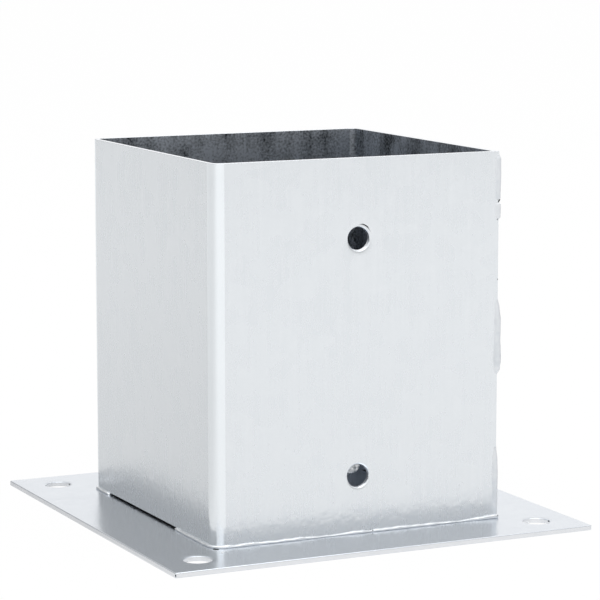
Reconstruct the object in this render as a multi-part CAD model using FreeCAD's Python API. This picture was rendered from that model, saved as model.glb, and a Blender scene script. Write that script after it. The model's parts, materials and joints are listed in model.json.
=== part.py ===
import FreeCAD, Part
import os
from collections import namedtuple

from FreeCAD import Vector

# Timber post base: a square sleeve, folded from one sheet of galvanised steel and
# stitch-welded up one corner, stands on a flat square plate and is welded to it at the foot.
# A timber post drops into the sleeve and is held by through bolts; the plate bolts down.
#
# Units are millimetres.  The origin is the middle of the plate's underside.
# +Z is up, Y runs along the through bolts, and the welded seam is the corner at +X, -Y.
# The front wall faces -Y.

# ---- base plate ----
plate_thickness = 2.0
plate_overhang = 28.0           # plate's border beyond the sleeve's faces
anchor_hole_diameter = 11.0
anchor_hole_edge_distance = 16.0

# ---- post sleeve ----
post_width = 120.0              # square post that the sleeve takes
sheet_thickness = 2.0
sleeve_height = 148.0           # from the plate's upper face to the rim
bend_inside_radius = 3.0
seam_slit = 0.2                 # open slit between the front wall and the side wall's free end
bolt_hole_diameter = 9.0
lower_bolt_height = 23.0        # above the plate's upper face
upper_bolt_depth = 31.5         # below the rim
pressed_edge_round = 0.5        # soft lip that shearing and punching leave on the outer side

# ---- drain gap under each side wall, between the two runs of foot weld ----
drain_gap_height = 0.9
drain_gap_front_margin = 37.0   # from the sleeve's front face
drain_gap_rear_margin = 17.0    # from the sleeve's rear face

# ---- welds ----
foot_weld_leg = 1.5             # along the wall and along the plate
foot_weld_bulge = 0.25          # how far the bead's face swells past a flat fillet
seam_weld_front_inset = 0.8     # bead's middle line, behind the front face
seam_weld_side_inset = 0.6      # bead's middle line, inside the side face

seam_weld_end_radius = 1.5
top_stitch_offset = 1.2         # from the rim down to the stitch
top_stitch_length = 18.4
top_stitch_radius = 1.7         # of the bead, midway along
upper_stitch_crease = 0.4       # between the top stitch and the next one down
upper_stitch_length = 7.4
upper_stitch_radius = 1.7
middle_stitch_offset = 58.4     # from the plate's upper face up to the stitch
middle_stitch_length = 31.1
middle_stitch_radius = 2.4
bottom_stitch_offset = 1.0      # from the plate's upper face up to the stitch
bottom_stitch_length = 28.4
bottom_stitch_radius = 1.9

# ---- sizes that follow ----
half_post = post_width / 2
half_sleeve = half_post + sheet_thickness
half_plate = half_sleeve + plate_overhang
bend_outside_radius = bend_inside_radius + sheet_thickness
foot_height = plate_thickness
rim_height = foot_height + sleeve_height
bolt_heights = (foot_height + lower_bolt_height, rim_height - upper_bolt_depth)
gap_front = drain_gap_front_margin - half_sleeve
gap_rear = half_sleeve - drain_gap_rear_margin
anchor_reach = half_plate - anchor_hole_edge_distance
edge_round = min(pressed_edge_round, sheet_thickness / 3, plate_thickness / 3)

# One stitch of weld up the seam: its node's name, lower end, length and radius midway.
SeamStitch = namedtuple("SeamStitch", "node low length radius")

top_stitch_low = rim_height - top_stitch_offset - top_stitch_length
upper_stitch_low = top_stitch_low - upper_stitch_crease - upper_stitch_length
middle_stitch_low = foot_height + middle_stitch_offset
bottom_stitch_low = foot_height + bottom_stitch_offset
seam_stitches = [
    SeamStitch("seam_weld_top", top_stitch_low, top_stitch_length, top_stitch_radius),
    SeamStitch("seam_weld_upper", upper_stitch_low, upper_stitch_length, upper_stitch_radius),
    SeamStitch("seam_weld_middle", middle_stitch_low, middle_stitch_length, middle_stitch_radius),
    SeamStitch("seam_weld_bottom", bottom_stitch_low, bottom_stitch_length, bottom_stitch_radius),
]

LEFT = Vector(-1, 0, 0)
RIGHT = Vector(1, 0, 0)
FRONT = Vector(0, -1, 0)
BACK = Vector(0, 1, 0)
UP = Vector(0, 0, 1)
CUTTER_OVERRUN = 1.0            # how far a cutter runs past the face that it opens
TOUCH = 1e-6                    # closer than this counts as the same place


def box_between(low, high):
    """Return the block between two opposite corners."""
    size = high - low
    return Part.makeBox(size.x, size.y, size.z, low)


def edges_on_plane(solid, normal, distance):
    """Return the solid's edges that lie wholly in the plane at a distance along its normal."""
    found = []
    for edge in solid.Edges:
        points = edge.discretize(5)
        if all(abs(point.dot(normal) - distance) < TOUCH for point in points):
            found.append(edge)
    return found


def base_plate():
    """Return the square plate, with an anchor hole in each corner and a soft upper edge."""
    low_corner = Vector(-half_plate, -half_plate, 0)
    high_corner = Vector(half_plate, half_plate, plate_thickness)
    plate = box_between(low_corner, high_corner)
    drill_length = plate_thickness + 2 * CUTTER_OVERRUN
    for x in (-anchor_reach, anchor_reach):
        for y in (-anchor_reach, anchor_reach):
            start = Vector(x, y, -CUTTER_OVERRUN)
            plate = plate.cut(Part.makeCylinder(anchor_hole_diameter / 2, drill_length, start, UP))
    return plate.makeFillet(edge_round, edges_on_plane(plate, UP, plate_thickness))


def folded_block(half_width, bend_radius, low, high):
    """Return an upright block with three rounded corners and a sharp one at the seam."""
    block = box_between(Vector(-half_width, -half_width, low), Vector(half_width, half_width, high))
    bends = []
    for edge in edges_on_plane(block, LEFT, half_width) + edges_on_plane(block, BACK, half_width):
        upright = abs(edge.BoundBox.ZLength - (high - low)) < TOUCH
        if upright and not any(edge.isSame(bend) for bend in bends):
            bends.append(edge)
    return block.makeFillet(bend_radius, bends)


def post_sleeve():
    """Return the folded sleeve: four walls, two pairs of bolt holes and the drain gaps."""
    outside = folded_block(half_sleeve, bend_outside_radius, foot_height, rim_height)
    hollow_low = foot_height - CUTTER_OVERRUN
    hollow_high = rim_height + CUTTER_OVERRUN
    sleeve = outside.cut(folded_block(half_post, bend_inside_radius, hollow_low, hollow_high))

    slit_low = Vector(half_post - CUTTER_OVERRUN, -half_post, hollow_low)
    slit_high = Vector(half_sleeve + CUTTER_OVERRUN, -half_post + seam_slit, hollow_high)
    sleeve = sleeve.cut(box_between(slit_low, slit_high))

    gap_low = Vector(-half_sleeve - CUTTER_OVERRUN, gap_front, hollow_low)
    gap_high = Vector(half_sleeve + CUTTER_OVERRUN, gap_rear, foot_height + drain_gap_height)
    sleeve = sleeve.cut(box_between(gap_low, gap_high))

    drill_length = 2 * (half_sleeve + CUTTER_OVERRUN)
    for height in bolt_heights:
        start = Vector(0, -half_sleeve - CUTTER_OVERRUN, height)
        sleeve = sleeve.cut(Part.makeCylinder(bolt_hole_diameter / 2, drill_length, start, BACK))

    soft_edges = edges_on_plane(sleeve, UP, rim_height)
    for outward in (FRONT, BACK):
        face_edges = edges_on_plane(sleeve, outward, half_sleeve)
        soft_edges += [edge for edge in face_edges if isinstance(edge.Curve, Part.Circle)]
    return sleeve.makeFillet(edge_round, soft_edges)


def foot_weld_section(foot, outward):
    """Return the foot weld's section: a swollen fillet between a wall and the plate."""
    on_wall = foot + UP * foot_weld_leg
    on_plate = foot + outward * foot_weld_leg
    to_face = (UP + outward).normalize()
    crown = (on_wall + on_plate) * 0.5 + to_face * foot_weld_bulge
    face_edge = Part.Arc(on_wall, crown, on_plate).toShape()
    wall_edge = Part.LineSegment(foot, on_wall).toShape()
    plate_edge = Part.LineSegment(on_plate, foot).toShape()
    return Part.Face(Part.Wire([wall_edge, face_edge, plate_edge]))


def foot_weld_straight(start, end, outward):
    """Return a straight run of foot weld along one wall."""
    return foot_weld_section(start, outward).extrude(end - start)


def foot_weld_turn(axis_point, radius, outward, angle):
    """Return foot weld that turns about an upright axis, as round a bend or at a run's end."""
    foot = axis_point + outward * radius
    return foot_weld_section(foot, outward).revolve(axis_point, UP, angle)


def wall_point(x, y):
    """Return a point at the height of the sleeve's foot."""
    return Vector(x, y, foot_height)


def joined(pieces):
    """Return one solid made of pieces that meet face to face."""
    return pieces[0].multiFuse(pieces[1:]).removeSplitter().Solids[0]


def foot_weld_front():
    """Return the foot weld that runs along the front wall and wraps onto both side walls."""
    bend_centre = half_sleeve - bend_outside_radius
    run_end = gap_front - foot_weld_leg
    left_end = wall_point(-half_sleeve, run_end)
    right_end = wall_point(half_sleeve, run_end)
    seam_corner = wall_point(half_sleeve, -half_sleeve)
    return joined([
        foot_weld_turn(left_end, 0, BACK, 90),
        foot_weld_straight(left_end, wall_point(-half_sleeve, -bend_centre), LEFT),
        foot_weld_turn(wall_point(-bend_centre, -bend_centre), bend_outside_radius, LEFT, 90),
        foot_weld_straight(wall_point(-bend_centre, -half_sleeve), seam_corner, FRONT),
        foot_weld_turn(seam_corner, 0, FRONT, 90),
        foot_weld_straight(seam_corner, right_end, RIGHT),
        foot_weld_turn(right_end, 0, RIGHT, 90),
    ])


def foot_weld_rear():
    """Return the foot weld that runs along the rear wall and wraps onto both side walls."""
    bend_centre = half_sleeve - bend_outside_radius
    run_end = gap_rear + foot_weld_leg
    left_end = wall_point(-half_sleeve, run_end)
    right_end = wall_point(half_sleeve, run_end)
    rear_left = wall_point(-bend_centre, half_sleeve)
    rear_right = wall_point(bend_centre, half_sleeve)
    return joined([
        foot_weld_turn(right_end, 0, FRONT, 90),
        foot_weld_straight(right_end, wall_point(half_sleeve, bend_centre), RIGHT),
        foot_weld_turn(wall_point(bend_centre, bend_centre), bend_outside_radius, RIGHT, 90),
        foot_weld_straight(rear_right, rear_left, BACK),
        foot_weld_turn(wall_point(-bend_centre, bend_centre), bend_outside_radius, BACK, 90),
        foot_weld_straight(wall_point(-half_sleeve, bend_centre), left_end, LEFT),
        foot_weld_turn(left_end, 0, LEFT, 90),
    ])


def round_stick(axis_point, length, end_radius, middle_radius):
    """Return an upright stick with domed ends that swells gently midway."""
    def place(radius, height):
        return axis_point + RIGHT * radius + UP * height

    # A dome's quarter circle passes here, on its way from the stick's tip to its flank.
    dome_radius = end_radius * 0.5 ** 0.5
    dome_height = end_radius - dome_radius
    tip_low = place(0, 0)
    tip_high = place(0, length)
    flank_low = place(end_radius, end_radius)
    flank_high = place(end_radius, length - end_radius)
    outline = Part.Wire([
        Part.Arc(tip_low, place(dome_radius, dome_height), flank_low).toShape(),
        Part.Arc(flank_low, place(middle_radius, length / 2), flank_high).toShape(),
        Part.Arc(flank_high, place(dome_radius, length - dome_height), tip_high).toShape(),
        Part.LineSegment(tip_high, tip_low).toShape(),
    ])
    return Part.Face(outline).revolve(axis_point, UP, 360)


def seam_weld(stitch, foot_weld):
    """Return one stitch of the seam, outside the sheet and clear of the foot weld."""
    x = half_sleeve - seam_weld_side_inset
    y = -half_sleeve + seam_weld_front_inset
    stick = round_stick(Vector(x, y, stitch.low), stitch.length, seam_weld_end_radius, stitch.radius)
    sheet_corner = folded_block(half_sleeve, bend_outside_radius, foot_height, rim_height)
    return stick.cut(sheet_corner).cut(foot_weld).Solids[0]


def main():
    """Build every piece and write each one to its own file."""
    front_weld = foot_weld_front()
    pieces = {
        "base_plate": base_plate(),
        "post_sleeve": post_sleeve(),
        "foot_weld_front": front_weld,
        "foot_weld_rear": foot_weld_rear(),
    }
    for stitch in seam_stitches:
        pieces[stitch.node] = seam_weld(stitch, front_weld)

    os.makedirs("parts", exist_ok=True)
    for name, shape in pieces.items():
        shape.exportStep("parts/" + name + ".step")


main()
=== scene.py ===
"""Looks of a galvanised timber post base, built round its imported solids.

Lengths are metres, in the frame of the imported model: +Z is up, the front wall of the sleeve
faces -Y, and the welded seam is the corner at +X, -Y.
"""

import json
import logging
import math
from dataclasses import dataclass, field
from enum import Enum
from typing import Callable, Iterable

import bmesh
import bpy
from mathutils import Euler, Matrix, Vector, noise


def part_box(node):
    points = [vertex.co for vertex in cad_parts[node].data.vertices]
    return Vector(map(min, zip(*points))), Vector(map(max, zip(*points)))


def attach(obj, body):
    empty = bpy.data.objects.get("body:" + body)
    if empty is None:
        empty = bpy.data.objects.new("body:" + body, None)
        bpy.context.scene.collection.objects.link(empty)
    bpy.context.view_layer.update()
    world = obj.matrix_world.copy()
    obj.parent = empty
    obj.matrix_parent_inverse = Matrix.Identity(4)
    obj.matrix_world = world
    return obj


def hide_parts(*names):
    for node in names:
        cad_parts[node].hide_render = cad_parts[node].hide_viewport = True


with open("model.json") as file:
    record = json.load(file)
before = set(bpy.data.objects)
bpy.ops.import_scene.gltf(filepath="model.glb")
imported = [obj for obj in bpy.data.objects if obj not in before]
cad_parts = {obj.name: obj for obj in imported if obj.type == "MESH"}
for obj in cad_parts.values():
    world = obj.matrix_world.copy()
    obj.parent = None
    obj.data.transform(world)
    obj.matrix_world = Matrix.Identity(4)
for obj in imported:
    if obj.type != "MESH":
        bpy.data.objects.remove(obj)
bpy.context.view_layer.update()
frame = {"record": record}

LOG = logging.getLogger("post_base")
MM = 0.001
UP = Vector((0, 0, 1))
BODY = "root"

Place = Callable[[float, float, float], Vector]


class Facing(Enum):
    """Outward direction of each wall, in the order in which the sheet was folded."""

    FRONT = Vector((0, -1, 0))
    LEFT = Vector((-1, 0, 0))
    REAR = Vector((0, 1, 0))
    RIGHT = Vector((1, 0, 0))


class SheetSide(Enum):
    """Material index of each side of the sheet."""

    OUTSIDE = 0
    INSIDE = 1
    EDGE = 2
    # Painted shade: the drain gaps' upper edges and the bottom of the punch scar.
    PAINTED_SHADE = 3
    # Painted highlight: the bends' outer face.
    BEND = 4


def linear(colour: str) -> tuple[float, float, float, float]:
    """Turn an sRGB hex colour to linear values.

    Args:
        colour: six hex digits, red first.

    Returns:
        Red, green, blue and alpha, ready for a shader socket.
    """
    channels = [int(colour[start:start + 2], 16) / 255 for start in (0, 2, 4)]
    return tuple(c / 12.92 if c <= 0.04045 else ((c + 0.055) / 1.055) ** 2.4 for c in channels) + (1.0,)


def add_node(tree: bpy.types.NodeTree, kind: str, values: dict | None = None,
             links: dict | None = None, **settings: object) -> bpy.types.Node:
    """Add one node with its settings, socket values and links.

    Args:
        tree: node tree that gets the node.
        kind: Blender's name for the node's type.
        values: socket name or index to its value.
        links: socket name or index to the output that feeds it.
        settings: the node's own properties.

    Returns:
        The new node.
    """
    node = tree.nodes.new(kind)
    for name, value in settings.items():
        setattr(node, name, value)
    for socket, value in (values or {}).items():
        node.inputs[socket].default_value = value
    for socket, source in (links or {}).items():
        tree.links.new(source, node.inputs[socket])
    return node


def ramp(tree: bpy.types.NodeTree, source: bpy.types.NodeSocket, span: tuple[float, float],
         levels: tuple[float, float], kind: str = "LINEAR") -> bpy.types.NodeSocket:
    """Map a value from one range to another, and hold it past the ends.

    Args:
        tree: node tree that gets the node.
        source: output that carries the value.
        span: the values that give the first and the last level.
        levels: the first and the last level.
        kind: how it runs between them, linear or smooth.

    Returns:
        The output that carries the level.
    """
    node = add_node(tree, "ShaderNodeMapRange",
                    {"From Min": span[0], "From Max": span[1], "To Min": levels[0], "To Max": levels[1]},
                    {"Value": source}, interpolation_type=kind)
    return node.outputs[0]


def smooth_noise(seed: float, *place: float) -> float:
    """Return gentle noise from -1 to 1, the same on every run."""
    padded = (list(place) + [0.0, 0.0])[:2]
    return noise.noise(Vector((padded[0], padded[1], seed)))


def between(stops: list[tuple[float, float]], at: float) -> float:
    """Interpolate between stops.

    Args:
        stops: places and their values, in order of place.
        at: place of the wanted value.

    Returns:
        The value there; past the ends, that of the nearest stop.
    """
    at = min(max(at, stops[0][0]), stops[-1][0])
    for (low, low_value), (high, high_value) in zip(stops, stops[1:]):
        if at <= high:
            share = (at - low) / (high - low)
            return low_value + (high_value - low_value) * share * share * (3 - 2 * share)
    return stops[-1][1]


def new_object(name: str, mesh: bpy.types.Mesh, slot: str, *nodes: str) -> bpy.types.Object:
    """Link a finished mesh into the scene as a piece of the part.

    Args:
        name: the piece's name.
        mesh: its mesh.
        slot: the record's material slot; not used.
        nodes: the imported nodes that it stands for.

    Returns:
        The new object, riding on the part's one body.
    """
    piece = bpy.data.objects.new(name, mesh)
    bpy.context.scene.collection.objects.link(piece)
    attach(piece, BODY)
    if nodes:
        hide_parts(*nodes)
    LOG.info("%s: %d faces", name, len(mesh.polygons))
    return piece


@dataclass(frozen=True)
class ZincFinish:
    """Hot-dip galvanised mild steel: a metal with a faint crystal pattern and soft streaks.

    The zinc froze in flat crystals, the spangle, each a little duller or brighter than the next.
    Run-off left streaks down the sheet, and storage left cloudy blotches.  The eye sees a pale,
    silvery, satin surface that reflects its surroundings softly.
    """

    name: str
    light: str
    dark: str
    roughness: float
    roughness_spread: float = 0.10
    spangle_size: float = 7 * MM
    spangle_share: float = 0.25
    streak_width: float = 5 * MM
    streak_length: float = 60 * MM
    streak_share: float = 0.35
    blotch_size: float = 14 * MM
    blotch_share: float = 0.45
    grain_size: float = 0.8 * MM
    grain_share: float = 0.25
    # Painted light: shares of a lighter tone towards the foot and towards the rim.
    foot_light_share: float = 0.0
    foot_reach: float = 60 * MM
    rim_light_share: float = 0.0
    rim_start: float = 105 * MM
    rim_end: float = 130 * MM
    relief_size: float = 3.2 * MM
    relief: float = 0.15 * MM
    relief_above: float = 0.1

    def material(self) -> bpy.types.Material:
        """Build the material.

        Returns:
            A node material, patterned in the object's own space.
        """
        made = bpy.data.materials.new(self.name)
        made.use_nodes = True
        tree = made.node_tree
        tree.nodes.clear()
        place = add_node(tree, "ShaderNodeTexCoord").outputs["Object"]
        tone = self._tone(tree, place)
        colour = add_node(tree, "ShaderNodeMix", {6: linear(self.dark), 7: linear(self.light)},
                          {0: tone}, data_type="RGBA")
        half_spread = self.roughness_spread / 2
        dull, bright = self.roughness + half_spread, self.roughness - half_spread
        roughness = ramp(tree, tone, (0.0, 1.0), (dull, bright))
        swell = add_node(tree, "ShaderNodeTexNoise", {"Scale": 1 / self.relief_size, "Detail": 1.0},
                         {"Vector": place})
        height = add_node(tree, "ShaderNodeSeparateXYZ", links={0: place}).outputs[2]
        calmer = ramp(tree, height, (0.0, self.foot_reach / 2), (1.0, self.relief_above))
        relief = add_node(tree, "ShaderNodeBump", {"Distance": self.relief},
                          {"Height": swell.outputs["Fac"], "Strength": calmer})
        metal = add_node(tree, "ShaderNodeBsdfPrincipled", {"Metallic": 1.0},
                         {"Base Color": colour.outputs[2], "Roughness": roughness,
                          "Normal": relief.outputs[0]})
        add_node(tree, "ShaderNodeOutputMaterial", links={"Surface": metal.outputs[0]})
        return made

    def _tone(self, tree: bpy.types.NodeTree, place: bpy.types.NodeSocket) -> bpy.types.NodeSocket:
        """Mix spangle, streaks, blotches and grain to one value about 0.5, with painted light: a lighter
        tone towards the foot and towards the rim.

        Args:
            tree: the material's node tree.
            place: coordinates that the patterns follow, in metres.

        Returns:
            The socket that carries the mixed value.
        """
        spangle = add_node(tree, "ShaderNodeTexVoronoi", {"Scale": 1 / self.spangle_size},
                           {"Vector": place})
        crystal = add_node(tree, "ShaderNodeSeparateColor", links={0: spangle.outputs["Color"]})
        drawn_out = self.streak_width / self.streak_length
        down = add_node(tree, "ShaderNodeMapping", {"Scale": (1.0, 1.0, drawn_out)}, {"Vector": place})
        streaks = add_node(tree, "ShaderNodeTexNoise", {"Scale": 1 / self.streak_width, "Detail": 3.0},
                           {"Vector": down.outputs[0]})
        blotches = add_node(tree, "ShaderNodeTexNoise", {"Scale": 1 / self.blotch_size, "Detail": 4.0},
                            {"Vector": place})
        grain = add_node(tree, "ShaderNodeTexNoise", {"Scale": 1 / self.grain_size, "Detail": 2.0},
                         {"Vector": place})
        height = add_node(tree, "ShaderNodeSeparateXYZ", links={0: place}).outputs[2]
        # Painted light: these ramps lighten the tone towards the foot and towards the rim.
        foot = ramp(tree, height, (0.0, self.foot_reach), (1.0, 0.0))
        rim = ramp(tree, height, (self.rim_start, self.rim_end), (0.0, 1.0))
        layers = (
            (foot, self.foot_light_share),
            (rim, self.rim_light_share),
            (crystal.outputs[0], self.spangle_share),
            (streaks.outputs["Fac"], self.streak_share),
            (blotches.outputs["Fac"], self.blotch_share),
            (grain.outputs["Fac"], self.grain_share),
        )
        middle = 0.5 - 0.5 * sum(share for _, share in layers[2:])
        total = None
        for source, share in layers:
            values = {1: share} if total else {1: share, 2: middle}
            links = {0: source, 2: total} if total else {0: source}
            step = add_node(tree, "ShaderNodeMath", values, links, operation="MULTIPLY_ADD")
            total = step.outputs[0]
        return total


OUTER_SHEET = ZincFinish("hot_dip_galvanised_mild_steel_sheet", "F3F6F9", "E8EDF1", 0.27,
                         spangle_share=0.12, blotch_size=6 * MM, blotch_share=0.3, grain_share=0.08,
                         streak_width=1.4 * MM, streak_length=30 * MM)
# Painted highlight: the bends' outer face is painted lighter than the flat walls, standing in for the
# bright reflection down the front bend; it is also smoother.
BEND_SHEET_WITH_HIGHLIGHT = ZincFinish("galvanised_sheet_burnished_at_the_bend", "F8FCFF", "F3F8FC", 0.20,
                        spangle_share=0.05, streak_width=1.0 * MM)
# Painted shade: the inner face's dark tone stands in for the shade inside the sleeve, painted lighter
# towards the foot and the rim; its mottle is the zinc's own.
INNER_SHEET_SHADED = ZincFinish("hot_dip_galvanised_sheet_inner_face_painted_shade", "DDE3EB", "1D242B", 0.36,
                         spangle_share=0.1, blotch_size=12 * MM, blotch_share=1.5, streak_share=1.2,
                         grain_share=1.7, grain_size=1.0 * MM, foot_light_share=0.6, rim_light_share=0.14,
                         relief=0.04 * MM)
# Dark finish for real flux and slag specks, and for painted shade: in the drain gaps, in the punch scar's
# groove and in two shadowed specks.
FLUX_AND_SHADE_STAIN = ZincFinish("flux_stain_and_painted_shade_on_galvanised_steel", "303438", "101214", 0.55)
PLATE_STEEL = ZincFinish("hot_dip_galvanised_mild_steel_plate", "EAEEF3", "DBE0E7", 0.25,
                         spangle_share=0.12, blotch_share=0.3, relief=0.05 * MM)
SEAM_ZINC = ZincFinish("galvanised_seam_weld_metal", "F4F6F8", "DDE2E7", 0.55, blotch_size=3 * MM,
                       blotch_share=0.9)
WEB_ZINC = ZincFinish("galvanised_zinc_skin", "F6F8FA", "5E666D", 0.30, blotch_size=1.3 * MM,
                      blotch_share=2.2)
CUT_EDGE = ZincFinish("galvanised_sheared_edge", "FAFBFD", "EEF1F5", 0.5, streak_length=5 * MM)
WELD_ZINC = ZincFinish("galvanised_weld_metal", "F4F6F8", "E4E8EC", 0.36, spangle_share=0.1,
                       grain_size=0.5 * MM)


# Height of each foot weld along its run, as a share of its leg.  The front bead dips where the
# torch sped up, has one small pit, and heaps up at the seam corner where it was restarted.
FRONT_SWELLS = [(0.0, 0.9), (40 * MM, 1.0), (70 * MM, 0.95), (84 * MM, 0.6), (98 * MM, 1.1),
                (101 * MM, 0.7), (104 * MM, 1.05), (130 * MM, 1.0), (143 * MM, 0.6), (152 * MM, 1.2),
                (158 * MM, 1.75), (162 * MM, 1.4), (170 * MM, 1.0), (196 * MM, 0.9)]
REAR_SWELLS = [(0.0, 0.9), (40 * MM, 1.0), (75 * MM, 0.7), (110 * MM, 1.15), (165 * MM, 0.95)]

# Each stitch up the seam corner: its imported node, how far it stands out, and how full it is along
# its height, as shares from its lower to its upper end.
SEAM_STITCHES = (
    ("seam_weld_top", 0.85 * MM,
     [(0.0, 0.0), (0.05, 0.8), (0.3, 0.9), (0.6, 1.0), (0.9, 0.95), (1.0, 0.1)]),
    ("seam_weld_upper", 0.85 * MM,
     [(0.0, 0.0), (0.15, 0.85), (0.5, 1.0), (0.85, 0.95), (1.0, 0.0)]),
    ("seam_weld_middle", 1.55 * MM,
     [(0.0, 0.0), (0.08, 0.75), (0.2, 1.0), (0.5, 0.8), (0.73, 0.85), (0.87, 0.5), (1.0, 0.0)]),
    ("seam_weld_bottom", 0.75 * MM,
     [(0.0, 0.7), (0.3, 0.9), (0.6, 1.0), (0.8, 0.7), (1.0, 0.0)]),
)


@dataclass(frozen=True)
class RoundHole:
    """A punched hole in a flat blank."""

    across: float
    along: float
    radius: float


@dataclass(frozen=True)
class Notch:
    """A shallow cut in the blank's lower edge."""

    start: float
    end: float
    height: float


@dataclass(frozen=True)
class PunchScar:
    """A short curved groove that the punch left beside a hole."""

    across: float
    along: float
    radius: float
    middle_angle: float
    half_angle: float = math.radians(38)
    depth: float = 0.3 * MM
    width: float = 0.22 * MM
    # Below this depth the groove's bottom is painted dark, as its shade.
    shaded_depth: float = 0.16 * MM

    def depth_at(self, across: float, along: float) -> float:
        """Return the groove's depth at a point of the blank."""
        painted_side_shade, upward = across - self.across, along - self.along
        off_line = (math.hypot(painted_side_shade, upward) - self.radius) / self.width
        turned = math.remainder(math.atan2(upward, painted_side_shade) - self.middle_angle, 2 * math.pi)
        if abs(off_line) > 3 or abs(turned) > self.half_angle:
            return 0.0
        return self.depth * math.exp(-off_line ** 2) * math.cos(turned / self.half_angle * math.pi / 2)


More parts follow.
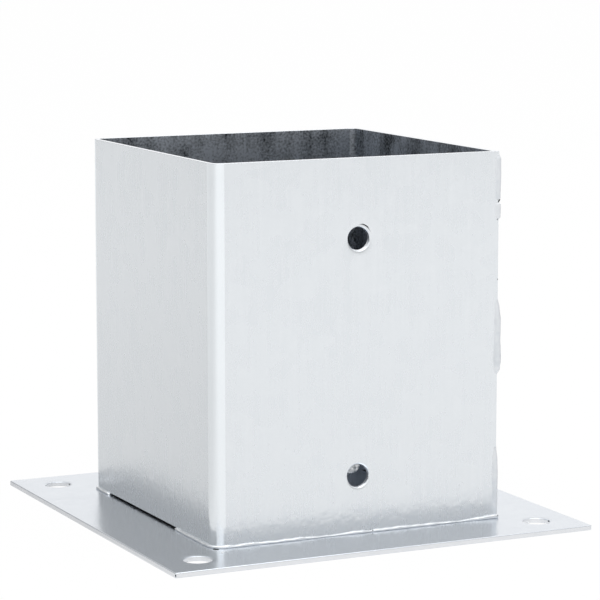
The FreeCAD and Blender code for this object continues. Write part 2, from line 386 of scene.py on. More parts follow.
@dataclass
class SheetBlank:
    """A flat, sheared and punched blank with soft edges, which place() bends to its final form."""

    width: float
    height: float
    thickness: float
    holes: list[RoundHole]
    notches: list[Notch] = field(default_factory=list)
    folds: list[tuple[float, float]] = field(default_factory=list)
    scars: list[PunchScar] = field(default_factory=list)
    hole_round: float = 0.85 * MM
    edge_round: float = 0.3 * MM
    back_round: float = 0.2 * MM
    corner_round: float = 0.2 * MM
    cell: float = 2 * MM
    patch_reach: float = 12 * MM
    patch_cells: int = 12
    fold_cells: int = 10
    round_segments: int = 4
    rim_rings: tuple[float, ...] = (0.0, 1.1 * MM, 1.3 * MM, 1.5 * MM, 1.7 * MM, 1.9 * MM, 2.2 * MM,
                                    3.0 * MM)
    outer_shares: tuple[float, ...] = (0.4,)
    rim_wobble: float = 0.06 * MM
    lip_depth: float = 0.22 * MM
    lip_width: float = 0.9 * MM

    def mesh(self, name: str, place: Place) -> bpy.types.Mesh:
        """Build the blank and bend it.

        Args:
            name: the mesh's name.
            place: maps across, along and depth in the blank to a point in space.

        Returns:
            A closed mesh, outside faces first in its material order.
        """
        shape = bmesh.new()
        columns = self._rulings(self.width, [hole.across for hole in self.holes],
                                self.folds + [(notch.start, notch.end) for notch in self.notches])
        rows = self._rulings(self.height, [hole.along for hole in self.holes],
                             [(0.0, notch.height) for notch in self.notches])
        self._face(shape, columns, rows)
        self._thicken(shape)
        self._mark_faces(shape)
        self._soften(shape)
        for vert in shape.verts:
            across, along, depth = vert.co
            vert.co = place(across, along, depth + self._lip(across, along, depth))
        bmesh.ops.recalc_face_normals(shape, faces=shape.faces)
        mesh = bpy.data.meshes.new(name)
        shape.to_mesh(mesh)
        shape.free()
        mesh.shade_smooth()
        return mesh

    def _rulings(self, length: float, centres: Iterable[float],
                 stretches: Iterable[tuple[float, float]]) -> list[float]:
        """Place the grid's lines, finer round the holes and in the folds.

        Args:
            length: the blank's size this way.
            centres: the holes' centres.
            stretches: stretches that need lines at both ends.

        Returns:
            The lines' places, in order.
        """
        patches = {(round(c - self.patch_reach, 6), round(c + self.patch_reach, 6)) for c in centres}
        folds = {(round(a, 6), round(b, 6)) for a, b in stretches}
        stops = sorted({0.0, round(length, 6)} | {end for pair in patches | folds for end in pair})
        lines = [0.0]
        for start, end in zip(stops, stops[1:]):
            if (start, end) in patches:
                cells = self.patch_cells
            elif any(abs(start - a) < 1e-6 and abs(end - b) < 1e-6 for a, b in self.folds):
                cells = self.fold_cells
            else:
                cells = max(1, math.ceil((end - start) / self.cell))
            lines += [start + (end - start) * step / cells for step in range(1, cells + 1)]
        return lines

    def _face(self, shape: bmesh.types.BMesh, columns: list[float], rows: list[float]) -> None:
        """Fill the blank's outer face with quads, left open at the holes and notches.

        Args:
            shape: mesh that gets the face.
            columns: grid lines across.
            rows: grid lines along.
        """
        grid: dict[tuple[int, int], bmesh.types.BMVert] = {}

        def corner(i: int, j: int) -> bmesh.types.BMVert:
            if (i, j) not in grid:
                grid[i, j] = shape.verts.new((columns[i], rows[j], 0.0))
            return grid[i, j]

        for i in range(len(columns) - 1):
            for j in range(len(rows) - 1):
                middle = ((columns[i] + columns[i + 1]) / 2, (rows[j] + rows[j + 1]) / 2)
                if not self._is_open(*middle):
                    shape.faces.new((corner(i, j), corner(i + 1, j), corner(i + 1, j + 1),
                                     corner(i, j + 1)))
        for hole in self.holes:
            self._patch(shape, hole, self._border(hole, columns, rows, corner))

    def _is_open(self, across: float, along: float) -> bool:
        """Tell whether a grid cell is cut away or belongs to a hole's patch."""
        in_patch = any(max(abs(across - hole.across), abs(along - hole.along)) < self.patch_reach
                       for hole in self.holes)
        in_notch = any(notch.start < across < notch.end and along < notch.height
                       for notch in self.notches)
        return in_patch or in_notch

    def _border(self, hole: RoundHole, columns: list[float], rows: list[float],
                corner: Callable[[int, int], bmesh.types.BMVert]) -> list[bmesh.types.BMVert]:
        """Collect the grid's corners round a hole's patch, anticlockwise from the lower left."""
        left = min(range(len(columns)), key=lambda i: abs(columns[i] - hole.across + self.patch_reach))
        low = min(range(len(rows)), key=lambda j: abs(rows[j] - hole.along + self.patch_reach))
        right = left + self.patch_cells
        high = low + self.patch_cells
        loop = [(i, low) for i in range(left, right)]
        loop += [(right, j) for j in range(low, high)]
        loop += [(i, high) for i in range(right, left, -1)]
        loop += [(left, j) for j in range(high, low, -1)]
        return [corner(i, j) for i, j in loop]

    def _patch(self, shape: bmesh.types.BMesh, hole: RoundHole,
               border: list[bmesh.types.BMVert]) -> None:
        """Fill the ground between a hole's rim and its square border with rings of quads.

        Args:
            shape: mesh that gets the rings.
            hole: the hole.
            border: the patch's outer loop.
        """
        centre = Vector((hole.across, hole.along, 0.0))
        spokes = []
        for step in range(len(border)):
            angle = math.radians(-135) + 2 * math.pi * step / len(border)
            spokes.append(Vector((math.cos(angle), math.sin(angle), 0.0)))
        rings = []
        for distance in self.rim_rings:
            ring = []
            for spoke in spokes:
                uneven = smooth_noise(hole.across + hole.along, 2 * spoke.x, 2 * spoke.y)
                wobble = self.rim_wobble * uneven
                ring.append(centre + spoke * (hole.radius + wobble + distance))
            rings.append(ring)
        for share in self.outer_shares:
            rings.append([point.lerp(outer.co, share) for point, outer in zip(rings[-1], border)])
        loops = [[shape.verts.new(point) for point in ring] for ring in rings] + [border]
        for inner, outer in zip(loops, loops[1:]):
            for step in range(len(border)):
                after = (step + 1) % len(border)
                shape.faces.new((inner[step], outer[step], outer[after], inner[after]))

    def _thicken(self, shape: bmesh.types.BMesh) -> None:
        """Add the sheet's back face and its cut edges."""
        front_faces = list(shape.faces)
        rim_edges = [edge for edge in shape.edges if edge.is_boundary]
        back = {vert: shape.verts.new(vert.co + UP * self.thickness) for vert in list(shape.verts)}
        for face in front_faces:
            made = shape.faces.new([back[vert] for vert in reversed(face.verts)])
            made.material_index = SheetSide.INSIDE.value
        for edge in rim_edges:
            start, end = edge.verts
            made = shape.faces.new((start, end, back[end], back[start]))
            middle = (start.co + end.co) / 2
            # Painted shade: the notch's upper edge over each drain gap takes the dark finish.
            in_notch = any(notch.start < middle.x < notch.end
                           and abs(middle.y - notch.height) < 0.01 * MM for notch in self.notches)
            made.material_index = (SheetSide.PAINTED_SHADE if in_notch else SheetSide.EDGE).value

    def _mark_faces(self, shape: bmesh.types.BMesh) -> None:
        """Set apart the outer faces in the bends, for their painted highlight, and the bottom of each
        scar, for its painted shade.
        """
        for face in shape.faces:
            if face.material_index != SheetSide.OUTSIDE.value:
                continue
            middle = face.calc_center_median()
            # Painted shade: the bottom of each scar takes the dark finish.
            if any(scar.depth_at(middle.x, middle.y) > scar.shaded_depth for scar in self.scars):
                face.material_index = SheetSide.PAINTED_SHADE.value
            # Painted highlight: faces in a bend take the lighter bend finish.
            if any(start < middle.x < end for start, end in self.folds):
                face.material_index = SheetSide.BEND.value

    def _soften(self, shape: bmesh.types.BMesh) -> None:
        """Round the cut edges: well on the pressed side, a little on the other."""
        bmesh.ops.recalc_face_normals(shape, faces=shape.faces)
        corners = [edge for edge in shape.edges
                   if abs(edge.verts[0].co.z - edge.verts[1].co.z) > self.thickness / 2
                   and edge.calc_face_angle() > 1.0]
        bmesh.ops.bevel(shape, geom=corners, offset=self.corner_round, offset_type="OFFSET",
                        segments=3, profile=0.5, affect="EDGES", clamp_overlap=True)
        for depth, radius, at_hole in ((0.0, self.hole_round, True), (0.0, self.edge_round, False),
                                       (self.thickness, self.back_round, True),
                                       (self.thickness, self.back_round, False)):
            edges = [edge for edge in shape.edges
                     if all(abs(vert.co.z - depth) < 1e-7 for vert in edge.verts)
                     and self._at_hole(edge) == at_hole
                     and len(edge.link_faces) == 2 and edge.calc_face_angle() > 1.0]
            bmesh.ops.bevel(shape, geom=edges, offset=radius, offset_type="OFFSET",
                            segments=self.round_segments, profile=0.5, affect="EDGES",
                            clamp_overlap=True)

    def _at_hole(self, edge: bmesh.types.BMEdge) -> bool:
        """Tell whether an edge belongs to a hole's rim."""
        middle = (edge.verts[0].co + edge.verts[1].co) / 2
        return any(math.hypot(middle.x - hole.across, middle.y - hole.along) < 1.5 * hole.radius
                   for hole in self.holes)

    def _lip(self, across: float, along: float, depth: float) -> float:
        """Return how far the punch drew the face in, beside the nearest hole."""
        drawn = 0.0
        for hole in self.holes:
            past_rim = max(0.0, math.hypot(across - hole.across, along - hole.along) - hole.radius)
            if past_rim < 6 * self.lip_width:
                drawn += self.lip_depth * math.exp(-past_rim / self.lip_width)
        drawn += sum(scar.depth_at(across, along) for scar in self.scars)
        return drawn * max(0.0, 1 - depth / self.thickness)


def finish_mesh(piece: bpy.types.Object, *finishes: bpy.types.Material) -> None:
    """Give a piece its materials, and normals that keep its flat faces flat."""
    for finish in finishes:
        piece.data.materials.append(finish)
    weighted = piece.modifiers.new("flat_faces", "WEIGHTED_NORMAL")
    weighted.keep_sharp = False
    weighted.weight = 80


@dataclass
class PostSleeve:
    """Square sleeve folded from one sheet, its two ends meeting at the seam corner."""

    half_width: float
    foot: float
    rim: float
    bolt_heights: list[float]
    bolt_radius: float
    sheet: float = 2.0 * MM
    bend_radius: float = 5.0 * MM
    seam_slit: float = 0.2 * MM
    gap_height: float = 0.9 * MM
    gap_front: float = -25.0 * MM
    gap_rear: float = 45.0 * MM
    bow: float = 0.10 * MM
    dents: tuple[tuple[float, float], ...] = ((-19.5 * MM, 26 * MM), (-24 * MM, 96 * MM),
                                              (-13 * MM, 88 * MM), (13 * MM, 95 * MM))
    dent_depth: float = 0.02 * MM
    dent_reach: float = 2.2 * MM
    scar_past_rim: float = 1.25 * MM
    scar_angle: float = math.radians(119)

    @property
    def bend_length(self) -> float:
        """Length of sheet that one bend takes, along its middle line."""
        return (self.bend_radius - self.sheet / 2) * math.pi / 2

    def walls(self) -> list[tuple[Vector, Vector, Vector, float]]:
        """List the flat walls in the order in which the sheet was folded.

        Returns:
            For each wall its start on the outer face, its direction, its outward normal and length.
        """
        half, bend = self.half_width, self.bend_radius
        sides = list(Facing)
        listed = []
        for index, side in enumerate(sides):
            outward = side.value
            along = sides[(index + 1) % 4].value
            first = half if index == 0 else half - bend
            last = half - self.sheet - self.seam_slit if index == 3 else half - bend
            listed.append((outward * half - along * first, along, outward, first + last))
        return listed

    def wall_start(self, index: int) -> float:
        """Return where a wall starts along the flat blank."""
        return sum(wall[3] for wall in self.walls()[:index]) + index * self.bend_length

    def place(self, across: float, along: float, depth: float) -> Vector:
        """Fold one point of the blank.

        Args:
            across: distance along the sheet from its free end at the front.
            along: height above the sleeve's foot.
            depth: depth below the outer face.

        Returns:
            The point in space.
        """
        walls = self.walls()
        sides = list(Facing)
        lift = UP * (self.foot + along)
        depth += self._bow(across, along)
        for index, (start, direction, outward, length) in enumerate(walls):
            done = across - self.wall_start(index)
            if done <= length + 1e-9 or index == 3:
                return start + direction * done - outward * depth + lift
            if done < length + self.bend_length:
                angle = (done - length) / self.bend_length * math.pi / 2
                onward = sides[index + 1].value
                centre = start + direction * length - outward * self.bend_radius
                normal = outward * math.cos(angle) + onward * math.sin(angle)
                return centre + normal * (self.bend_radius - depth) + lift
        raise ValueError("point lies off the blank")

    def _bow(self, across: float, along: float) -> float:
        """Return the sheet's slight unevenness, none at the welded foot."""
        free = min(1.0, along / (20 * MM))
        sunk = self.bow * free * smooth_noise(3.7, across / (70 * MM), along / (90 * MM))
        for x, height in self.dents:
            from_dent = math.hypot(self.half_width - x - across, height - self.foot - along)
            sunk += self.dent_depth * math.exp(-(from_dent / self.dent_reach) ** 2)
        return sunk

    def build(self, outside: bpy.types.Material, inside: bpy.types.Material, edge: bpy.types.Material,
              painted_shade: bpy.types.Material, bend_highlight: bpy.types.Material) -> bpy.types.Object:
        """Build the folded sleeve.

        Args:
            outside: finish of the outer face.
            inside: finish of the inner face.
            edge: finish of the cut edges.
            painted_shade: dark finish painted as shade on the drain gaps' upper edges and in the bottom
                of the punch scar.
            bend_highlight: finish of the bends' outer face, smoother than the walls and painted lighter
                as a highlight.

        Returns:
            The sleeve.
        """
        walls = self.walls()
        front_middle = self.wall_start(0) + self.half_width
        rear_middle = self.wall_start(2) + walls[2][3] / 2
        left_zero = self.wall_start(1) + walls[1][3] / 2
        right_zero = self.wall_start(3) + self.half_width - self.bend_radius
        holes = [RoundHole(across, height - self.foot, self.bolt_radius)
                 for across in (front_middle, rear_middle) for height in self.bolt_heights]
        notches = [Notch(left_zero + self.gap_front, left_zero + self.gap_rear, self.gap_height),
                   Notch(right_zero - self.gap_rear, right_zero - self.gap_front, self.gap_height)]
        ends = [self.wall_start(index) for index in (1, 2, 3)]
        bends = [(end - self.bend_length, end) for end in ends]
        width = self.wall_start(3) + walls[3][3]
        scars = [PunchScar(front_middle, max(self.bolt_heights) - self.foot,
                           self.bolt_radius + self.scar_past_rim, self.scar_angle)]
        blank = SheetBlank(width, self.rim - self.foot, self.sheet, holes, notches, bends, scars)
        piece = new_object("folded_sleeve", blank.mesh("folded_sleeve", self.place),
                           "galvanised_sheet", "post_sleeve")
        finish_mesh(piece, outside, inside, edge, painted_shade, bend_highlight)
        return piece

    def paint_gap_shade(self, painted_shade: bpy.types.Material) -> None:
        """Lay a dark sheet on the plate inside each drain gap: painted shade for the shadow under the
        wall.
        """
        thin, inset, depth = 0.03 * MM, 0.35 * MM, 6 * MM
        for name, side in (("left", -1), ("right", 1)):
            outer, inner = side * (self.half_width - inset), side * (self.half_width - inset - depth)
            shape = bmesh.new()
            bmesh.ops.create_cube(shape, size=1.0)
            middle = Vector(((outer + inner) / 2, (self.gap_front + self.gap_rear) / 2,
                             self.foot + thin / 2))
            size = (depth, self.gap_rear - self.gap_front - 1.6 * MM, thin)
            for vert in shape.verts:
                vert.co = middle + Vector(share * length for share, length in zip(vert.co, size))
            mesh = bpy.data.meshes.new("gap_shade_sheet_" + name)
            shape.to_mesh(mesh)
            shape.free()
            new_object("gap_shade_sheet_" + name, mesh, "galvanised_plate").data.materials.append(painted_shade)


@dataclass
class BasePlate:
    """Flat square plate, sheared from a strip and punched at its corners."""

    half_side: float
    thickness: float
    anchor_reach: float
    anchor_radius: float
    hole_round: float = 0.25 * MM
    edge_round: float = 0.4 * MM
    corner_round: float = 0.5 * MM
    cell: float = 5 * MM

    def place(self, across: float, along: float, depth: float) -> Vector:
        """Set one point of the blank in space, its pressed face up."""
        return Vector((across - self.half_side, along - self.half_side, self.thickness - depth))

    def build(self, finish: bpy.types.Material, edge: bpy.types.Material) -> bpy.types.Object:
        """Build the plate.

        Args:
            finish: material of its faces.
            edge: finish of its cut edges.

        Returns:
            The plate.
        """
        side = 2 * self.half_side
        near, far = self.half_side - self.anchor_reach, self.half_side + self.anchor_reach
        holes = [RoundHole(x, y, self.anchor_radius) for x in (near, far) for y in (near, far)]
        blank = SheetBlank(side, side, self.thickness, holes, hole_round=self.hole_round,
                           edge_round=self.edge_round, corner_round=self.corner_round, cell=self.cell)
        piece = new_object("punched_plate", blank.mesh("punched_plate", self.place),
                           "galvanised_plate", "base_plate")
        finish_mesh(piece, finish, finish, edge)
        return piece


@dataclass
class WeldStation:
    """One stop along a foot weld: where the wall meets the plate, and which way is out."""

    foot: Vector
    outward: Vector


@dataclass
class FootWeld:
    """Fillet weld between the sleeve's foot and the plate, wavy as it was laid by hand."""

    sleeve: PostSleeve
    step: float = 0.5 * MM
    leg: float = 1.0 * MM
    ripple_pitch: float = 1.5 * MM
    ripple_share: float = 0.06
    wave_share: float = 0.28
    slow_wave: float = 9 * MM
    quick_wave: float = 3.5 * MM
    spread_share: float = 0.4
    spread_wave: float = 5 * MM
    face_sweep: float = math.radians(143)
    section_steps: int = 8
    buried: float = 0.1 * MM

    def run(self, start: Vector, end: Vector, outward: Vector) -> list[WeldStation]:
        """List the stations of a straight run."""
        steps = max(1, round((end - start).length / self.step))
        return [WeldStation(start.lerp(end, index / steps), outward) for index in range(steps)]

    def turn(self, centre: Vector, radius: float, first: Vector, last: Vector,
             steps: int) -> list[WeldStation]:
        """List the stations round a quarter turn from one outward direction to the next."""
        stations = []
        for index in range(steps):
            angle = index / steps * math.pi / 2
            outward = first * math.cos(angle) + last * math.sin(angle)
            stations.append(WeldStation(centre + outward * radius, outward))
        return stations

    def corner(self, x: float, y: float) -> Vector:
        """Return a point at the sleeve's foot."""
        return Vector((x, y, self.sleeve.foot))

    def front_path(self) -> list[WeldStation]:
        """List the stations from the left drain gap, along the front wall, to the right one."""
        half, bend = self.sleeve.half_width, self.sleeve.bend_radius
        near = half - bend
        left, front, right = Facing.LEFT.value, Facing.FRONT.value, Facing.RIGHT.value
        end = self.sleeve.gap_front
        seam = self.corner(half, -half)
        return (self.run(self.corner(-half, end), self.corner(-half, -near), left)
                + self.turn(self.corner(-near, -near), bend, left, front, 16)
                + self.run(self.corner(-near, -half), seam, front)
                + self.turn(seam, 0.0, front, right, 8)
                + self.run(seam, self.corner(half, end), right)
                + [WeldStation(self.corner(half, end), right)])

    def rear_path(self) -> list[WeldStation]:
        """List the stations from the right drain gap, along the rear wall, to the left one."""
        half, bend = self.sleeve.half_width, self.sleeve.bend_radius
        near = half - bend
        left, rear, right = Facing.LEFT.value, Facing.REAR.value, Facing.RIGHT.value
        end = self.sleeve.gap_rear
        return (self.run(self.corner(half, end), self.corner(half, near), right)
                + self.turn(self.corner(near, near), bend, right, rear, 16)
                + self.run(self.corner(near, half), self.corner(-near, half), rear)
                + self.turn(self.corner(-near, near), bend, rear, left, 16)
                + self.run(self.corner(-half, near), self.corner(-half, end), left)
                + [WeldStation(self.corner(-half, end), left)])

    def section(self, station: WeldStation, up_leg: float, out_leg: float) -> list[Vector]:
        """Outline the bead at one station.

        Args:
            station: where the section stands.
            up_leg: height of the bead on the wall.
            out_leg: width of the bead on the plate.

        Returns:
            The section's points, from the wall over the face to the plate and back inside.
        """
        points = []
        for index in range(self.section_steps + 1):
            angle = math.pi / 2 - self.face_sweep * index / self.section_steps
            out = out_leg * (0.3 + 0.7 * math.cos(angle))
            up = up_leg * (0.45 + 0.55 * math.sin(angle))
            points.append(station.foot + station.outward * out + UP * up)
        inside = -station.outward * self.buried
        points.append(station.foot + inside - UP * self.buried)
        points.append(station.foot + inside + UP * up_leg)
        return points

    def build(self, name: str, node: str, stations: list[WeldStation],
              swells: list[tuple[float, float]], finish: bpy.types.Material) -> bpy.types.Object:
        """Sweep the bead along its stations.

        Args:
            name: the piece's name.
            node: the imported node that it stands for.
            stations: where its sections stand.
            swells: distances along the bead, with its height there as a share of its leg.
            finish: its material.

        Returns:
            The bead.
        """
        shape = bmesh.new()
        seed = sum(ord(letter) for letter in name) * 0.37
        walked = 0.0
        loops = []
        total = sum((b.foot - a.foot).length for a, b in zip(stations, stations[1:]))
        for index, station in enumerate(stations):
            if index:
                walked += (station.foot - stations[index - 1].foot).length
            end_share = min(1.0, min(walked, total - walked) / (1.5 * self.leg))
            taper = 0.25 + 0.75 * math.sqrt(max(0.0, 1 - (1 - end_share) ** 2))
            wave = 0.6 * smooth_noise(seed, walked / self.slow_wave)
            wave += smooth_noise(seed + 5, walked / self.quick_wave)
            ripple = abs(math.sin(math.pi * walked / self.ripple_pitch + 0.6 * wave))
            up_leg = self.leg * taper * between(swells, walked) * (1 + self.wave_share * wave)
            up_leg *= 1 + self.ripple_share * (ripple - 0.5)
            out_leg = self.leg * taper * (0.5 + 0.5 * between(swells, walked))
            out_leg *= 1 + self.spread_share * smooth_noise(seed + 9, walked / self.spread_wave)
            loops.append([shape.verts.new(point) for point in self.section(station, up_leg, out_leg)])
        count = len(loops[0])
        for first, second in zip(loops, loops[1:]):
            for index in range(count):
                after = (index + 1) % count
                shape.faces.new((first[index], first[after], second[after], second[index]))
        shape.faces.new(reversed(loops[0]))
        shape.faces.new(loops[-1])
        bmesh.ops.recalc_face_normals(shape, faces=shape.faces)
        mesh = bpy.data.meshes.new(name)
        shape.to_mesh(mesh)
        shape.free()
        mesh.shade_smooth()
        piece = new_object(name, mesh, "galvanised_weld", node)
        piece.data.materials.append(finish)
        return piece


@dataclass
class SeamWeld:
    """One stitch of weld up the seam corner: a soft swelling that fades into both walls."""

    node: str
    proud: float
    swells: list[tuple[float, float]]
    lap: float = 1.9 * MM
    buried: float = 0.25 * MM
    sunk: float = 0.02 * MM
    lump_share: float = 0.10
    lump_length: float = 4 * MM
    drift_share: float = 0.22
    drift_length: float = 7 * MM
    around: int = 20
    step: float = 0.3 * MM

    def section(self, corner: Vector, share: float, proud: float, drift: float) -> list[Vector]:
        """Outline the stitch at one height.

        Args:
            corner: the sleeve's corner at this height.
            share: how full the stitch is here, from 0 to 1.
            proud: how far it stands out past the corner.
            drift: how far its crown wanders to the side.

        Returns:
            The section's points, over the face and back inside the sheet.
        """
        points = []
        lap = self.lap * (0.55 + 0.45 * share)
        for step in range(self.around + 1):
            turn = 2 * step / self.around - 1
            angle = turn * math.pi / 4
            normal = Vector((math.sin(math.pi / 4 + angle), -math.cos(math.pi / 4 + angle), 0.0))
            base = corner + Vector((-lap * max(0.0, -turn), lap * max(0.0, turn), 0.0))
            drifted = max(-1.0, min(1.0, turn + drift * (1 - turn * turn)))
            height = proud * math.cos(math.pi / 2 * drifted) ** 2
            points.append(base + normal * (height - self.sunk))
        points.append(corner + Vector((-self.buried, lap, 0.0)))
        points.append(corner + Vector((-self.buried, self.buried, 0.0)))
        points.append(corner + Vector((-lap, self.buried, 0.0)))
        return points

    def build(self, half_width: float, finish: bpy.types.Material) -> bpy.types.Object:
        """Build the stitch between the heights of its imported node.

        Args:
            half_width: half of the sleeve's outside width.
            finish: its material.

        Returns:
            The stitch.
        """
        low, high = (corner[2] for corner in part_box(self.node))
        steps = round((high - low) / self.step)
        shape = bmesh.new()
        loops = []
        for index in range(steps + 1):
            height = low + (high - low) * index / steps
            share = between(self.swells, index / steps)
            lumps = 1 + self.lump_share * smooth_noise(9 * self.proud / MM, height / self.lump_length)
            drift = self.drift_share * smooth_noise(7.3, height / self.drift_length)
            corner = Vector((half_width, -half_width, height))
            section = self.section(corner, share, self.proud * share * lumps, drift)
            loops.append([shape.verts.new(point) for point in section])
        count = len(loops[0])
        for first, second in zip(loops, loops[1:]):
            for index in range(count):
                after = (index + 1) % count
                shape.faces.new((first[index], first[after], second[after], second[index]))
        shape.faces.new(reversed(loops[0]))
        shape.faces.new(loops[-1])
        bmesh.ops.recalc_face_normals(shape, faces=shape.faces)
        mesh = bpy.data.meshes.new(self.node + "_bead")
        shape.to_mesh(mesh)
        shape.free()
        mesh.shade_smooth()
        piece = new_object(self.node + "_bead", mesh, "galvanised_weld", self.node)
        piece.data.materials.append(finish)
        return piece


@dataclass(frozen=True)
class Speck:
    """One small rounded grain: its place, its size, and its turn and lean in degrees."""

    place: tuple[float, float, float]
    size: tuple[float, float, float]
    turn: float = 0.0
    lean: float = 0.0


@dataclass
class Specks:
    """A scatter of small grains, kept as one piece."""

    name: str
    specks: list[Speck]

    def build(self, finish: bpy.types.Material) -> bpy.types.Object:
        """Build the grains.

        Args:
            finish: their material.

        Returns:
            One piece that holds every grain.
        """
        shape = bmesh.new()
        for speck in self.specks:
            made = bmesh.ops.create_icosphere(shape, subdivisions=2, radius=0.5)
            turned = Euler((0.0, math.radians(speck.lean), math.radians(speck.turn))).to_matrix()
            for vert in made["verts"]:
                scaled = Vector(share * length for share, length in zip(vert.co, speck.size))
                vert.co = Vector(speck.place) + turned @ scaled
        mesh = bpy.data.meshes.new(self.name)
        shape.to_mesh(mesh)
        shape.free()
        mesh.shade_smooth()
        piece = new_object(self.name, mesh, "galvanised_weld")
        piece.data.materials.append(finish)
        return piece


@dataclass
class ZincWeb:
    """Skin of zinc that froze across the upper left of a bolt hole as the base was lifted out."""

    centre: Vector
    radius: float
    behind: float = 0.9 * MM
    thickness: float = 0.5 * MM
    lower_edge: float = 0.26
    steps: int = 14
    rings: int = 6

    def outline(self) -> list[tuple[float, float]]:
        """List the web's outline, as shares of the hole's radius."""
        start, end = math.pi - math.asin(self.lower_edge), math.radians(76)
        arc = [start + (end - start) * step / self.steps for step in range(self.steps + 1)]
        rim = [(1.05 * math.cos(angle), 1.05 * math.sin(angle)) for angle in arc]
        return rim + [(0.2, 0.74), (0.1, 0.52), (-0.06, 0.36), (-0.25, 0.27), (-0.5, 0.25),
                      (-0.75, 0.25)]

    def build(self, finish: bpy.types.Material) -> bpy.types.Object:
        """Build the web as a thin, softly bulged skin.

        Args:
            finish: its material.

        Returns:
            The web.
        """
        outline = self.outline()
        middle = Vector((sum(x for x, _ in outline), sum(z for _, z in outline))) / len(outline)
        shape = bmesh.new()
        layers = []
        for side in (-1, 1):
            loops = []
            for ring in range(1, self.rings + 1):
                share = ring / self.rings
                bulge = side * self.thickness / 2 * math.sqrt(max(0.0, 1 - share ** 3))
                loop = []
                for x, z in outline:
                    flat = middle.lerp(Vector((x, z)), share) * self.radius
                    offset = Vector((flat.x, self.behind + bulge, flat.y))
                    loop.append(shape.verts.new(self.centre + offset))
                loops.append(loop)
            peak = self.centre + Vector((middle.x * self.radius,
                                         self.behind + side * self.thickness / 2,
                                         middle.y * self.radius))
            layers.append((loops, shape.verts.new(peak)))
        count = len(outline)
        for loops, peak in layers:
            for index in range(count):
                after = (index + 1) % count
                shape.faces.new((peak, loops[0][index], loops[0][after]))
                for inner, outer in zip(loops, loops[1:]):
                    shape.faces.new((inner[index], outer[index], outer[after], inner[after]))
        bmesh.ops.remove_doubles(shape, verts=shape.verts, dist=1e-7)
        bmesh.ops.recalc_face_normals(shape, faces=shape.faces)
        mesh = bpy.data.meshes.new("zinc_web")
        shape.to_mesh(mesh)
        shape.free()
        mesh.shade_smooth()
        piece = new_object("zinc_web", mesh, "galvanised_weld")
        piece.data.materials.append(finish)
        return piece


@dataclass(frozen=True)
class SoftBox:
    """A rectangular lamp that points at the part; its power is in watts."""

    name: str
    place: tuple[float, float, float]
    size: tuple[float, float]
    power: float


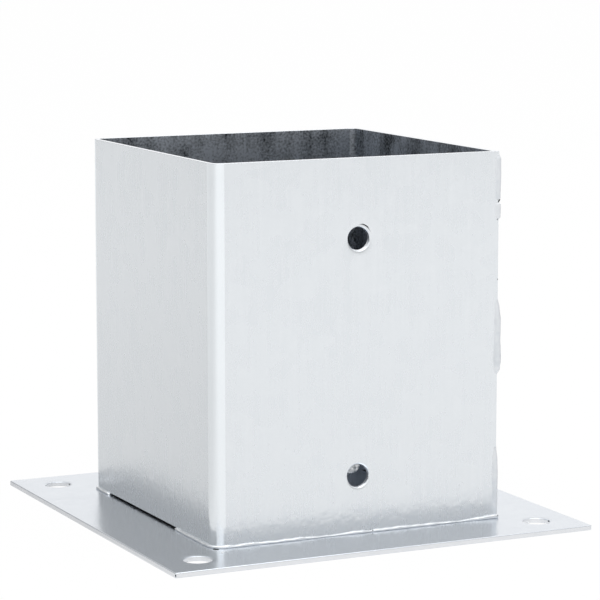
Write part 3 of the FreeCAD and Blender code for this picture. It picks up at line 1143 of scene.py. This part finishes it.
@dataclass
class Studio:
    """Plain white studio: pale floor, soft lamps, pale surroundings and the camera.

    The metal mirrors the floor and the surroundings, so its tones come from their levels: white
    is 1, and each level below says how bright one side of the room is.
    """

    aim: tuple[float, float, float] = (4.4 * MM, -0.3 * MM, 86.1 * MM)
    distance: float = 1.1104
    heading: float = 25.77
    elevation: float = 8.37
    lens: float = 162.8
    floor_reach: float = 8.0
    side_shade_level: float = 0.80
    contact_shadow_level: float = 0.90
    backdrop_level: float = 0.54
    front_level: float = 0.36
    ceiling_level: float = 0.5
    dim_level: float = 0.35
    bright_level: float = 0.52
    mirrored_share: float = 0.97
    lamps: tuple[SoftBox, ...] = (
        SoftBox("key_softbox", (-1.75, -3.6, 1.75), (5.0, 1.5), 9.0),
        SoftBox("overhead_softbox", (0.0, -0.2, 2.0), (2.0, 2.0), 16.0),
    )

    def build(self) -> None:
        """Set up the camera, floor, lamps, surroundings and colour handling."""
        self.camera()
        self.floor()
        self.surroundings()
        for lamp in self.lamps:
            self.hang(lamp)
        bpy.context.scene.view_settings.view_transform = "Standard"

    def camera(self) -> None:
        """Place the camera on its orbit, aimed at the part."""
        data = bpy.data.cameras.new("camera")
        data.lens = self.lens
        data.clip_end = 50.0
        camera = bpy.data.objects.new("camera", data)
        bpy.context.scene.collection.objects.link(camera)
        tilt = Euler((math.radians(90 - self.elevation), 0, -math.radians(self.heading)))
        camera.rotation_euler = tilt
        camera.location = Vector(self.aim) + tilt.to_matrix() @ Vector((0, 0, self.distance))
        bpy.context.scene.camera = camera

    def floor(self) -> None:
        """Lay a pale floor that stays white to the camera but for the faint real shadow; to the metal its
        glow has a painted contact shadow near the part and painted shade towards the left rear.
        """
        reach = self.floor_reach
        mesh = bpy.data.meshes.new("floor")
        corners = [(-reach, -reach, 0), (reach, -reach, 0), (reach, reach, 0), (-reach, reach, 0)]
        mesh.from_pydata(corners, [], [(0, 1, 2, 3)])
        floor = bpy.data.objects.new("floor", mesh)
        bpy.context.scene.collection.objects.link(floor)
        paint = bpy.data.materials.new("matt_white_floor")
        paint.use_nodes = True
        tree = paint.node_tree
        tree.nodes.clear()
        matt = add_node(tree, "ShaderNodeBsdfDiffuse", {"Color": linear("F4F4F4")})
        place = add_node(tree, "ShaderNodeTexCoord").outputs["Object"]
        bearing = add_node(tree, "ShaderNodeVectorMath", links={0: place}, operation="NORMALIZE")
        rearward = add_node(tree, "ShaderNodeVectorMath", {1: (-0.9, 0.43, 0.0)},
                            {0: bearing.outputs["Vector"]}, operation="DOT_PRODUCT")
        # Painted shade: the floor's mirrored glow falls to side_shade_level towards the left rear.
        painted_side_shade = ramp(tree, rearward.outputs["Value"], (0.20, 0.90), (1.0, self.side_shade_level))
        away = add_node(tree, "ShaderNodeVectorMath", links={0: place}, operation="LENGTH")
        # Painted shadow: the floor's mirrored glow is darker near the part.
        painted_contact_shadow = ramp(tree, away.outputs["Value"], (0.1, 0.9), (self.contact_shadow_level, 1.0))
        reflected = self.combined(tree, "MULTIPLY", painted_side_shade, painted_contact_shadow)
        path = add_node(tree, "ShaderNodeLightPath")
        level = self.combined(tree, "MAXIMUM", reflected, path.outputs["Is Camera Ray"])
        white = add_node(tree, "ShaderNodeEmission", links={"Strength": level})
        seen = self.seen_directly(tree)
        share = add_node(tree, "ShaderNodeMath", {1: self.mirrored_share}, {0: seen},
                         operation="MULTIPLY")
        mixed = add_node(tree, "ShaderNodeMixShader",
                         links={0: share.outputs[0], 1: matt.outputs[0], 2: white.outputs[0]})
        add_node(tree, "ShaderNodeOutputMaterial", links={"Surface": mixed.outputs[0]})
        mesh.materials.append(paint)

    def seen_directly(self, tree: bpy.types.NodeTree) -> bpy.types.NodeSocket:
        """Return a value of 1 for camera, glossy and transmission rays."""
        path = add_node(tree, "ShaderNodeLightPath")
        first = self.combined(tree, "MAXIMUM", path.outputs["Is Camera Ray"],
                              path.outputs["Is Glossy Ray"])
        return self.combined(tree, "MAXIMUM", first, path.outputs["Is Transmission Ray"])

    def combined(self, tree: bpy.types.NodeTree, operation: str, first: bpy.types.NodeSocket,
                 second: bpy.types.NodeSocket) -> bpy.types.NodeSocket:
        """Combine two values.

        Args:
            tree: node tree that gets the node.
            operation: the math node's operation.
            first: output that carries the first value.
            second: output that carries the second.

        Returns:
            The output that carries the result.
        """
        node = add_node(tree, "ShaderNodeMath", links={0: first, 1: second}, operation=operation)
        return node.outputs[0]

    def surroundings(self) -> None:
        """Surround the part with a white backdrop that falls to soft grey towards the room."""
        world = bpy.data.worlds.new("white_studio")
        bpy.context.scene.world = world
        world.use_nodes = True
        tree = world.node_tree
        tree.nodes.clear()
        direction = add_node(tree, "ShaderNodeTexCoord").outputs["Generated"]
        heading = math.radians(self.heading)
        away_from_camera = (math.sin(heading), math.cos(heading), 0.0)
        behind = add_node(tree, "ShaderNodeVectorMath", {1: away_from_camera}, {0: direction},
                          operation="DOT_PRODUCT")
        rear = ramp(tree, behind.outputs["Value"], (0.75, 0.97), (0.0, self.backdrop_level), "SMOOTHSTEP")
        near = ramp(tree, behind.outputs["Value"], (-0.70, -0.97), (0.0, self.front_level), "SMOOTHSTEP")
        level = self.combined(tree, "MAXIMUM", rear, near)
        aside = add_node(tree, "ShaderNodeVectorMath", {1: (1.0, -0.3, 0.0)}, {0: direction},
                         operation="DOT_PRODUCT")
        dimmer = ramp(tree, aside.outputs["Value"], (-0.9, 0.7), (self.dim_level, self.bright_level))
        upward = add_node(tree, "ShaderNodeSeparateXYZ", links={0: direction}).outputs[2]
        ceiling = ramp(tree, upward, (0.25, 0.6), (0.0, self.ceiling_level), "SMOOTHSTEP")
        both = self.combined(tree, "MAXIMUM", level, ceiling)
        total = self.combined(tree, "ADD", both, dimmer)
        room = add_node(tree, "ShaderNodeBackground", {"Color": (1, 1, 1, 1)}, {"Strength": total})
        white = add_node(tree, "ShaderNodeBackground", {"Color": (1, 1, 1, 1), "Strength": 1.0})
        path = add_node(tree, "ShaderNodeLightPath")
        mixed = add_node(tree, "ShaderNodeMixShader", links={0: path.outputs["Is Camera Ray"],
                                                             1: room.outputs[0], 2: white.outputs[0]})
        add_node(tree, "ShaderNodeOutputWorld", links={"Surface": mixed.outputs[0]})

    def hang(self, soft_box: SoftBox) -> None:
        """Hang a soft box and point it at the part."""
        data = bpy.data.lights.new(soft_box.name, "AREA")
        data.shape = "RECTANGLE"
        data.size, data.size_y = soft_box.size
        data.energy = soft_box.power
        lamp = bpy.data.objects.new(soft_box.name, data)
        lamp.location = soft_box.place
        towards_part = Vector(self.aim) - Vector(soft_box.place)
        lamp.rotation_euler = towards_part.to_track_quat("-Z", "Y").to_euler()
        bpy.context.scene.collection.objects.link(lamp)


def build_seam(half_width: float, finish: bpy.types.Material) -> None:
    """Build the four stitches up the seam corner.

    Args:
        half_width: half of the sleeve's outside width.
        finish: their material.
    """
    for node, proud, swells in SEAM_STITCHES:
        SeamWeld(node, proud, swells).build(half_width, finish)


def build_marks(sleeve: PostSleeve, plate: BasePlate, flux_and_shade: bpy.types.Material,
                zinc: bpy.types.Material) -> None:
    """Scatter the small slag and flux specks, two of them painted shade, and the zinc tears in the anchor
    holes.

    Args:
        sleeve: the post sleeve, for its size.
        plate: the base plate, for its size.
        flux_and_shade: finish of the dark specks, real flux and slag, and painted shade.
        zinc: finish of the zinc tears.
    """
    half, side, top = sleeve.half_width, plate.half_side, plate.thickness
    front = -half - 0.05 * MM
    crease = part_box("seam_weld_top")[0][2]
    upper_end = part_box("seam_weld_upper")[0][2]
    in_seam = [
        # Painted shade: this dark speck stands in for the shadow in the crease below the top stitch.
        Speck((half + 0.1 * MM, front, crease - 0.2 * MM), (0.5 * MM, 0.4 * MM, 1.6 * MM), lean=35),
        Speck((half - 0.6 * MM, front, upper_end + 0.2 * MM), (0.3 * MM, 0.15 * MM, 0.6 * MM), lean=23),
        Speck((half - 0.2 * MM, front, upper_end - 23.8 * MM), (0.25 * MM, 0.15 * MM, 0.6 * MM)),
    ]
    on_foot_weld = [
        Speck((half + 0.4 * MM, front - 0.9 * MM, top + 1.1 * MM), (0.5 * MM, 0.4 * MM, 0.5 * MM)),
        Speck((half - 1.3 * MM, front - 0.85 * MM, top + 0.8 * MM), (0.6 * MM, 0.3 * MM, 0.4 * MM)),
        Speck((6 * MM, front - 0.8 * MM, top + 0.7 * MM), (0.5 * MM, 0.3 * MM, 0.4 * MM)),
        # Painted shade: this dark streak stands in for the shadow under the foot weld at the front bend.
        Speck((-61.3 * MM, -62.3 * MM, top), (2.6 * MM, 0.5 * MM, 0.6 * MM), turn=-40),
    ]
    on_plate = [
        Speck((-side + 0.26 * MM, -side + 0.26 * MM, top / 2), (0.5 * MM, 0.5 * MM, 1.2 * MM)),
        Speck((78.7 * MM, -75.6 * MM, top - 0.25 * MM), (1.0 * MM, 0.5 * MM, 0.5 * MM), turn=-70),
        Speck((-69.4 * MM, 72.8 * MM, top - 0.25 * MM), (0.9 * MM, 0.5 * MM, 0.5 * MM), turn=70),
    ]
    tears = [
        Speck((-60.9 * MM, -68.2 * MM, top), (1.9 * MM, 1.1 * MM, 0.7 * MM)),
        Speck((69.6 * MM, -74.9 * MM, top - 0.15 * MM), (1.2 * MM, 0.9 * MM, 0.5 * MM), turn=80),
        Speck((-78.4 * MM, -74.9 * MM, top - 0.1 * MM), (1.6 * MM, 0.9 * MM, 0.5 * MM), turn=80),
        Speck((-75.6 * MM, 78.6 * MM, top - 0.15 * MM), (1.8 * MM, 0.8 * MM, 0.5 * MM), turn=15),
        Speck((-78.7 * MM, 75.9 * MM, top - 0.15 * MM), (1.3 * MM, 0.8 * MM, 0.5 * MM), turn=60),
    ]
    Specks("slag_and_shade_specks", in_seam + on_foot_weld + on_plate).build(flux_and_shade)
    Specks("zinc_tears", tears).build(zinc)


def main() -> None:
    """Build every piece of the part in order, then the studio."""
    logging.basicConfig(level=logging.INFO, format="%(message)s")
    mounts = {mount["name"]: mount for mount in frame["record"]["mounts"]}
    sleeve_low, sleeve_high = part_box("post_sleeve")
    plate_low, plate_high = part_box("base_plate")
    bolts = [mounts["lower_post_bolt"], mounts["upper_post_bolt"]]
    anchors = mounts["anchor_bolts"]["dims"]
    edge, flux_and_shade = CUT_EDGE.material(), FLUX_AND_SHADE_STAIN.material()
    weld_zinc, seam_zinc = WELD_ZINC.material(), SEAM_ZINC.material()

    sleeve = PostSleeve(sleeve_high[0], sleeve_low[2], sleeve_high[2],
                        [bolt["pos_m"][2] for bolt in bolts], bolts[0]["dims"]["r_mm"] * MM)
    sleeve.build(OUTER_SHEET.material(), INNER_SHEET_SHADED.material(), edge, flux_and_shade, BEND_SHEET_WITH_HIGHLIGHT.material())
    sleeve.paint_gap_shade(flux_and_shade)
    plate = BasePlate(plate_high[0], plate_high[2] - plate_low[2],
                      anchors["spacing_x_mm"] / 2 * MM, anchors["hole_r_mm"] * MM)
    plate.build(PLATE_STEEL.material(), edge)
    foot_weld = FootWeld(sleeve)
    foot_weld.build("foot_bead_front", "foot_weld_front", foot_weld.front_path(), FRONT_SWELLS,
                    weld_zinc)
    foot_weld.build("foot_bead_rear", "foot_weld_rear", foot_weld.rear_path(), REAR_SWELLS, weld_zinc)
    build_seam(sleeve.half_width, seam_zinc)
    build_marks(sleeve, plate, flux_and_shade, seam_zinc)
    lower_hole = Vector((0.0, -sleeve.half_width, min(sleeve.bolt_heights)))
    ZincWeb(lower_hole, sleeve.bolt_radius).build(WEB_ZINC.material())
    Studio().build()


if __name__ == "__main__":
    main()
